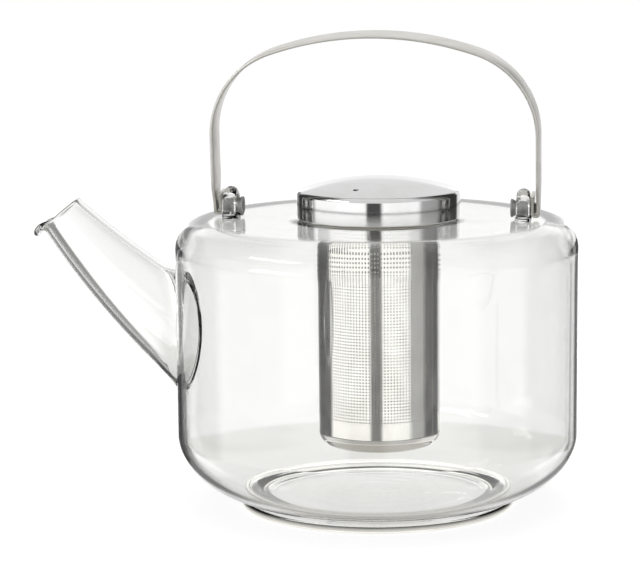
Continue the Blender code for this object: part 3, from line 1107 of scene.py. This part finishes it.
@dataclass
class DomedLid:
    """The polished lid with its steam vent, liner and seal."""

    offset: float = 0.8 * MM
    radius: float = 30.3 * MM
    bottom: float = 108.2 * MM
    band_top: float = 116.6 * MM
    edge: float = 2.2 * MM
    dome: float = 93.5 * MM
    sheet: float = 0.8 * MM
    vent: float = 1.0 * MM
    vent_place: Point = (-5.5 * MM, -21 * MM)
    hem: float = 0.35 * MM

    def outline(self) -> list[Point]:
        """Closed outline of the pressed shell."""
        edge_centre = (self.radius - self.edge, self.band_top)
        slope = math.degrees(math.asin((self.radius - self.edge) / (self.dome - self.edge)))
        drop = (self.dome - self.edge) * math.cos(math.radians(slope))
        dome_centre = (0, self.band_top - drop)
        outside = arc((self.radius - self.hem, self.bottom + self.hem), (self.hem, self.hem), -90, 0, 5)
        outside += arc(edge_centre, (self.edge, self.edge), 0, 90 - slope, 14)
        outside += arc(dome_centre, (self.dome, self.dome), 90 - slope, 90, 30)[1:]
        inner_edge = self.edge - self.sheet
        inner_dome = self.dome - self.sheet
        inside = arc(dome_centre, (inner_dome, inner_dome), 90, 90 - slope, 12)
        inside += arc(edge_centre, (inner_edge, inner_edge), 90 - slope, 0, 6)[1:]
        inside.append((self.radius - self.sheet, self.bottom + 0.1 * MM))
        return outside + inside

    def build(
        self, polished: bpy.types.Material, satin: bpy.types.Material, rubber: bpy.types.Material
    ) -> None:
        """Make and dress the shell, and dress the liner and the seal.

        Args:
            polished: Finish of the shell.
            satin: Finish of the liner.
            rubber: Finish of the seal.
        """
        cap = settle("domed_lid", turned(self.outline(), 160))
        place = Matrix.Translation((*self.vent_place, self.band_top + 5 * MM))
        combine(cap, rod("vent", self.vent, 12 * MM, place), "DIFFERENCE")
        cap.data.transform(Matrix.Translation((self.offset, 0, 0)))
        dress(cap, polished, Body.LID, Slot.POLISHED, "lid_cap")
        for node, finish in (("lid_liner", satin), ("lid_seal", rubber)):
            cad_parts[node].data.materials.clear()
            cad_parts[node].data.materials.append(finish)
            LOG.info("%s: dressed", node)


@dataclass
class InfuserBasket:
    """The hanging basket: flange, perforated sleeve and pressed cup."""

    offset: float = 0.8 * MM
    radius: float = 22.8 * MM
    sheet: float = 0.5 * MM
    bottom: float = 22.6 * MM
    corner: float = 5.2 * MM
    top: float = 107.8 * MM
    flange: float = 28.8 * MM
    pitch: float = 1.15 * MM
    hole: float = 0.33 * MM
    first_row: float = 34.2 * MM
    rows: int = 60
    columns: int = 124
    seam_angle: float = math.radians(-44)
    seam_columns: int = 4
    gap: float = 0.3 * MM
    bore: float = 21.2 * MM
    skirt_bottom: float = 103 * MM
    skirt: float = 0.5 * MM
    half_flange: float = 0.4 * MM
    outer_bend: float = 1.3 * MM

    @property
    def place(self) -> Matrix:
        """The basket's own axis."""
        return Matrix.Translation((self.offset, 0, 0))

    def collar(self) -> bpy.types.Object:
        """The flange that rests on the mouth, with its short skirt."""
        low = self.top + self.gap
        half = self.half_flange
        bend = self.outer_bend
        drop = low - self.skirt
        outline = [(self.bore, self.skirt_bottom), (self.bore + self.skirt, self.skirt_bottom)]
        outline += arc((self.bore + 2 * self.skirt, drop), (self.skirt, self.skirt), 180, 90, 4)
        outline += arc((self.flange - half, low + half), (half, half), -90, 90, 8)
        outline += arc((self.bore + bend, drop), (bend, bend), 90, 180, 6)
        return settle("basket_flange", turned(outline, 128), self.place)

    def cup(self) -> bpy.types.Object:
        """The pressed cup that closes the lower end."""
        centre = (self.radius - self.corner, self.bottom + self.corner)
        inner = self.corner - self.sheet
        outline = [(0, self.bottom)] + [(centre[0] * share, self.bottom) for share in (0.35, 0.7)]
        outline += arc(centre, (self.corner, self.corner), -90, 0, 18)
        outline += arc(centre, (inner, inner), 0, -90, 12)
        outline.append((0, self.bottom + self.sheet))
        return settle("basket_end_cup", turned(outline, 128), self.place)

    def heights(self) -> list[float]:
        """Heights of the sheet's grid lines, from the lower band to the upper one."""
        low = self.bottom + self.corner + self.gap
        rows = [self.first_row + self.pitch * row for row in range(self.rows + 1)]
        return [low, low + 0.4 * MM, self.first_row - 1.5 * MM] + rows + [self.top - 0.4 * MM, self.top]

    def sheet_half(self, name: str, first: int, last: int) -> bpy.types.Object:
        """One half of the rolled sheet, every hole cut through it.

        Args:
            name: Name of the piece.
            first: First column of the grid.
            last: Column after the last.

        Returns:
            The closed half sleeve.
        """
        shape = bmesh.new()
        layer = shape.verts.layers.float_vector.new(LAY)
        heights = self.heights()
        bore = self.radius - self.sheet
        step = math.tau / self.columns
        start = self.seam_angle - step * self.seam_columns / 2

        def vert(column: float, height: float, radius: float) -> bmesh.types.BMVert:
            """Add a point of the sheet."""
            angle = start + step * column
            made = shape.verts.new((radius * math.cos(angle), radius * math.sin(angle), height))
            made[layer] = (column * self.pitch, height, 0.0)
            return made

        grids = []
        for radius in (self.radius, bore):
            grids.append([[vert(column, z, radius) for z in heights] for column in range(first, last + 1)])
        corners = [math.radians(60 * index) for index in range(6)]
        for column in range(last - first):
            for row in range(len(heights) - 1):
                pierced = column + first >= self.seam_columns and 3 <= row < 3 + self.rows
                walls = []
                # Faces of the inner skin take the second material, the painted shade of the sleeve's inside
                for grid, radius in zip(grids, (self.radius, bore)):
                    left = grid[column]
                    right = grid[column + 1]
                    around = (right[row + 1], left[row + 1], left[row], right[row])
                    if not pierced:
                        shape.faces.new(around).material_index = int(radius == bore)
                        continue
                    middle = (heights[row] + heights[row + 1]) / 2
                    hexagon = []
                    for angle in corners:
                        aside = self.hole * math.cos(angle) / (step * radius)
                        rise = self.hole * math.sin(angle)
                        hexagon.append(vert(first + column + 0.5 + aside, middle + rise, radius))
                    walls.append(hexagon)
                    a, b, c, d = around
                    e, f, g, h, i, j = hexagon
                    for face in (
                        (a, b, g, f), (c, d, j, i), (a, f, e), (b, h, g),
                        (c, i, h), (d, e, j), (d, a, e), (b, c, h),
                    ):
                        shape.faces.new(face).material_index = int(radius == bore)
                # Hole walls take the painted shade too
                if walls:
                    for index in range(6):
                        other = (index + 1) % 6
                        edge = (walls[0][index], walls[0][other], walls[1][other], walls[1][index])
                        shape.faces.new(edge).material_index = 1
        outer, inner = grids
        for column in range(last - first):
            for row in (0, -1):
                shape.faces.new(
                    (outer[column][row], outer[column + 1][row], inner[column + 1][row], inner[column][row])
                )
        for column in (0, -1):
            for row in range(len(heights) - 1):
                shape.faces.new(
                    (outer[column][row], outer[column][row + 1], inner[column][row + 1], inner[column][row])
                )
        return settle(name, shape, self.place)

    def build(self, satin: bpy.types.Material, sheet: bpy.types.Material, painted_shade_finish: bpy.types.Material) -> None:
        """Make and dress the flange, both halves of the sleeve and the cup.

        Args:
            satin: Finish of flange and cup.
            sheet: Finish of the sleeve's outside.
            painted_shade_finish: Near-black finish of the sleeve's inside and of its holes' edges, painted
                shade that stands in for the shade in there.
        """
        dress(self.collar(), satin, Body.BASKET, Slot.SATIN, "basket_collar")
        half = self.columns // 2
        seam_side = self.sheet_half("sleeve_sheet_seam_side", 0, half)
        far_side = self.sheet_half("sleeve_sheet_far_side", half, self.columns)
        dress(seam_side, sheet, Body.BASKET, Slot.SATIN, "basket_sleeve")
        dress(far_side, sheet, Body.BASKET, Slot.SATIN)
        # Second slot: the near-black painted shade for the sleeve's inside and its hole walls
        for piece in (seam_side, far_side):
            piece.data.materials.append(painted_shade_finish)
        dress(self.cup(), satin, Body.BASKET, Slot.SATIN, "basket_cup")


# The studio


Tones = tuple[tuple[float, float], ...]

# Brightness round the studio: angle from the camera's side in degrees, and the tone there
LOW_TONES: Tones = (
    (-180, 0.97), (-175, 1.03), (-171.4, 1.3), (-169, 1.6), (-167, 1.6), (-165.5, 0.30), (-152, 0.25),
    (-148, 0.04), (-106, 0.04), (-98, 1.25), (-19, 1.3), (-14, 0.24), (2, 0.24), (7, 1.25), (57, 1.15),
    (64, 0.45), (90, 0.38), (100, 0.04), (143, 0.04), (149, 0.9), (160, 1.0), (162.5, 0.40), (164.5, 0.42),
    (166, 1.6), (169, 1.6), (171.4, 1.3), (175, 1.03), (180, 0.97),
)
HIGH_TONES: Tones = (
    (-180, 0.85), (-155, 0.82), (-145, 0.04), (-96, 0.04), (-88, 0.5), (-60, 0.8), (60, 0.8), (88, 0.5),
    (96, 0.04), (145, 0.04), (155, 0.82), (180, 0.85),
)
FLOOR_TONES: Tones = (
    (-180, 0.86), (-167, 0.9), (-165, 0.22), (-138, 0.16), (-132, 0.80), (-100, 0.80), (-70, 0.50),
    (70, 0.50), (100, 0.80), (148, 0.86), (152, 0.3), (165, 0.3), (167, 0.9), (180, 0.86),
)


@dataclass
class Studio:
    """Camera, floor, flags, panels and surroundings."""

    position: tuple[float, float, float] = (0.1235, -0.93836, 0.23273)
    right: Colour = (0.98847, 0.15113, -0.00944)
    up: Colour = (-0.01719, 0.17390, 0.98461)
    forward: Colour = (-0.15045, 0.97310, -0.17450)
    lens: float = 144.4
    shift: float = 0.069
    azimuth: float = math.radians(7.5)
    near_floor: float = 0.085
    far_floor: float = 3.0
    floor_height: float = -0.02 * MM
    floor_sides: int = 96
    aim: tuple[float, float, float] = (0, 0, 0.08)

    def camera(self) -> None:
        """Set the camera at the viewing angle."""
        data = bpy.data.cameras.new("camera")
        data.sensor_width = 36.0
        data.lens = self.lens
        data.shift_y = self.shift
        data.clip_start = 0.01
        data.clip_end = 20.0
        thing = bpy.data.objects.new("camera", data)
        bpy.context.scene.collection.objects.link(thing)
        axes = Matrix((self.right, self.up, [-part for part in self.forward])).transposed()
        thing.matrix_world = Matrix.Translation(self.position) @ axes.to_4x4()
        bpy.context.scene.camera = thing

    def floor_finish(self) -> bpy.types.Material:
        """Pale board with a faint tooth and a glow that keeps it nearly white.

        Returns:
            The material.
        """
        material, tree, shader = start_material("pale_board")
        where = tree.add("TexCoord").outputs["Object"]
        tooth = tree.add("TexNoise", Scale=900.0, Detail=3.0)
        tree.link(where, tooth.inputs["Vector"])
        board = tree.blended(tooth.outputs["Fac"], (0.15, 0.15, 0.15), (0.17, 0.17, 0.17))
        tree.link(board, shader.inputs["Base Color"])
        shader.inputs["Roughness"].default_value = 0.9
        shader.inputs["Specular IOR Level"].default_value = 0.1
        shader.inputs["Emission Color"].default_value = (1.0, 1.0, 1.0, 1.0)
        shader.inputs["Emission Strength"].default_value = 0.90
        return material

    def floor(self) -> None:
        """A near disc and a far ring, hidden from reflections and refractions."""
        finish = self.floor_finish()
        rings = (("near_floor", 0.0, self.near_floor), ("far_floor", self.near_floor, self.far_floor))
        for name, inner, outer in rings:
            shape = bmesh.new()
            circles = [circle(radius, self.floor_height, self.floor_sides) for radius in (inner, outer)]
            near, far = [[shape.verts.new(point) for point in points] for points in circles]
            for index in range(self.floor_sides):
                other = (index + 1) % self.floor_sides
                corners = [near[index % len(near)], far[index], far[other], near[other % len(near)]]
                shape.faces.new(list(dict.fromkeys(corners)))
            disc = settle(name, shape)
            if disc.data.polygons[0].normal.z < 0:
                disc.data.flip_normals()
            disc.data.materials.append(finish)
            disc.visible_glossy = False
            disc.visible_transmission = False

    def flag(self, name: str, start: Point, end: Point, span: Point, tone: float) -> None:
        """A dark card that only reflections and refractions see.

        Args:
            name: Name of the card.
            start: Plan position of one end.
            end: Plan position of the other.
            span: Heights of its lower and upper edges.
            tone: Its brightness.
        """
        shape = bmesh.new()
        corners = [(*start, span[0]), (*end, span[0]), (*end, span[1]), (*start, span[1])]
        shape.faces.new([shape.verts.new(corner) for corner in corners])
        card = settle(name, shape)
        material, tree, shader = start_material(name + "_felt")
        where = tree.add("TexCoord").outputs["Object"]
        cloud = tree.add("TexNoise", Scale=6.0, Detail=1.0)
        tree.link(where, cloud.inputs["Vector"])
        low = (tone * 0.8, tone * 0.8, tone * 0.8)
        high = (tone * 1.2, tone * 1.2, tone * 1.2)
        tree.link(tree.blended(cloud.outputs["Fac"], low, high), shader.inputs["Emission Color"])
        shader.inputs["Emission Strength"].default_value = 1.0
        shader.inputs["Base Color"].default_value = (0.0, 0.0, 0.0, 1.0)
        shader.inputs["Specular IOR Level"].default_value = 0.0
        card.data.materials.append(material)
        card.visible_camera = False
        card.visible_diffuse = False
        card.visible_shadow = False

    def panel(
        self, name: str, place: Vector, width: float, height: float, watts: float, glossy: bool
    ) -> None:
        """A soft box that faces the pot.

        Args:
            name: Name of the light.
            place: Where it stands.
            width: Its width.
            height: Its height.
            watts: Its power.
            glossy: Whether reflections and refractions see it.
        """
        data = bpy.data.lights.new(name, "AREA")
        data.shape = "RECTANGLE"
        data.size = width
        data.size_y = height
        data.energy = watts
        thing = bpy.data.objects.new(name, data)
        bpy.context.scene.collection.objects.link(thing)
        thing.location = place
        thing.rotation_euler = (Vector(self.aim) - place).to_track_quat("-Z", "Y").to_euler()
        thing.visible_camera = False
        thing.visible_glossy = glossy
        thing.visible_transmission = glossy

    def wall_tones(self, tree: Tree, share: bpy.types.NodeSocket, tones: Tones) -> bpy.types.NodeSocket:
        """Brightness round the studio.

        Args:
            tree: The world's tree.
            share: Direction as a share of the full turn, half a turn being towards the camera.
            tones: Angle from the camera's side in degrees, and brightness there.

        Returns:
            The colour output.
        """
        ramp = tree.add("ValToRGB")
        elements = ramp.color_ramp.elements
        while len(elements) < len(tones):
            elements.new(0.5)
        for element, (angle, tone) in zip(elements, tones):
            element.position = (angle + 180) / 360
            element.color = (tone, tone, tone, 1.0)
        tree.link(share, ramp.inputs["Fac"])
        return ramp.outputs["Color"]

    def over(
        self, tree: Tree, rise: bpy.types.NodeSocket, span: Point,
        below: bpy.types.NodeSocket, above: bpy.types.NodeSocket,
    ) -> bpy.types.NodeSocket:
        """Change from one colour to another as a direction rises.

        Args:
            tree: The world's tree.
            rise: The direction's upward part.
            span: Where the change starts and ends.
            below: Colour under it.
            above: Colour over it.

        Returns:
            The colour output.
        """
        mix = tree.add("Mix", data_type="RGBA")
        tree.link(tree.mask(rise, none=span[0], full=span[1], soft=True), mix.inputs[0])
        tree.link(below, mix.inputs[6])
        tree.link(above, mix.inputs[7])
        return mix.outputs[2]

    def surroundings(self) -> None:
        """White to the eye; a studio of lit and unlit walls to glass and steel."""
        world = bpy.data.worlds.new("studio_walls")
        bpy.context.scene.world = world
        world.use_nodes = True
        tree = Tree(world.node_tree)
        shown = world.node_tree.nodes["Background"]
        direction = tree.add("TexCoord").outputs["Generated"]
        turn = tree.add("VectorRotate", rotation_type="Z_AXIS")
        turn.inputs["Angle"].default_value = -self.azimuth
        tree.link(direction, turn.inputs["Vector"])
        parts = tree.add("SeparateXYZ")
        tree.link(turn.outputs[0], parts.inputs[0])
        minus = tree.add("Math", operation="MULTIPLY")
        minus.inputs[1].default_value = -1.0
        tree.link(parts.outputs["Y"], minus.inputs[0])
        round_angle = tree.add("Math", operation="ARCTAN2")
        tree.link(parts.outputs["X"], round_angle.inputs[0])
        tree.link(minus.outputs[0], round_angle.inputs[1])
        share = tree.add("MapRange")
        share.inputs["From Min"].default_value = -math.pi
        share.inputs["From Max"].default_value = math.pi
        tree.link(round_angle.outputs[0], share.inputs["Value"])
        low = self.wall_tones(tree, share.outputs["Result"], LOW_TONES)
        high = self.wall_tones(tree, share.outputs["Result"], HIGH_TONES)
        board = tree.add("Mix", data_type="RGBA", blend_type="MULTIPLY")
        board.inputs[0].default_value = 1.0
        board.inputs[6].default_value = (0.87, 0.87, 0.845, 1.0)
        tree.link(low, board.inputs[7])
        lower = self.over(tree, parts.outputs["Z"], (-0.224, -0.220), board.outputs[2], low)
        floor = self.wall_tones(tree, share.outputs["Result"], FLOOR_TONES)
        lower = self.over(tree, parts.outputs["Z"], (-0.32, -0.26), floor, lower)
        under = tree.add("RGB")
        under.outputs[0].default_value = (0.50, 0.49, 0.46, 1.0)
        lower = self.over(tree, parts.outputs["Z"], (-0.66, -0.54), under.outputs[0], lower)
        wall = self.over(tree, parts.outputs["Z"], (0.19, 0.27), lower, high)
        ceiling = tree.add("RGB")
        ceiling.outputs[0].default_value = (0.85, 0.85, 0.85, 1.0)
        around = self.over(tree, parts.outputs["Z"], (0.80, 0.92), wall, ceiling.outputs[0])
        seen = tree.add("Mix", data_type="RGBA")
        tree.link(tree.add("LightPath").outputs["Is Camera Ray"], seen.inputs[0])
        tree.link(around, seen.inputs[6])
        seen.inputs[7].default_value = (1.02, 1.02, 1.02, 1.0)
        tree.link(seen.outputs[2], shown.inputs["Color"])

    def build(self) -> None:
        """Set up the whole studio."""
        self.camera()
        self.floor()
        self.surroundings()
        self.flag("rear_left_flag", (-0.0847, 0.0174), (-0.0998, 0.0151), (0.0, 0.043), 0.07)
        self.flag("rear_right_flag", (0.0803, 0.0408), (0.0922, 0.0424), (0.0, 0.100), 0.18)
        self.flag("front_flag", (-0.02, -0.16), (0.03, -0.16), (0.087, 0.13), 0.08)
        self.panel("overhead_box", Vector((0.0, 0.1, 1.1)), 0.9, 0.9, 6.0, False)
        self.panel("left_box", Vector((-0.9, -0.6, 0.75)), 0.7, 0.16, 2.0, True)
        bpy.context.scene.view_settings.view_transform = "Standard"


def main() -> None:
    """Build the studio and the pot, and report each piece."""
    logging.basicConfig(level=logging.INFO, format="%(name)s: %(message)s")
    groups = Groups(grain_group(), marks_group(), draw_group())
    glass = ClearGlass().build(groups)
    steel = {finish.name: finish.build(groups) for finish in STEELS}
    Studio().build()
    GlassVessel().build(glass)
    BailHandle().build(steel["brushed_strap"], steel["rivet_steel"])
    DomedLid().build(steel["polished_steel"], steel["liner_steel"], Silicone().build(groups))
    InfuserBasket().build(steel["satin_steel"], steel["pierced_sheet"], steel["pierced_sheet_painted_shade"])


if __name__ == "__main__":
    main()
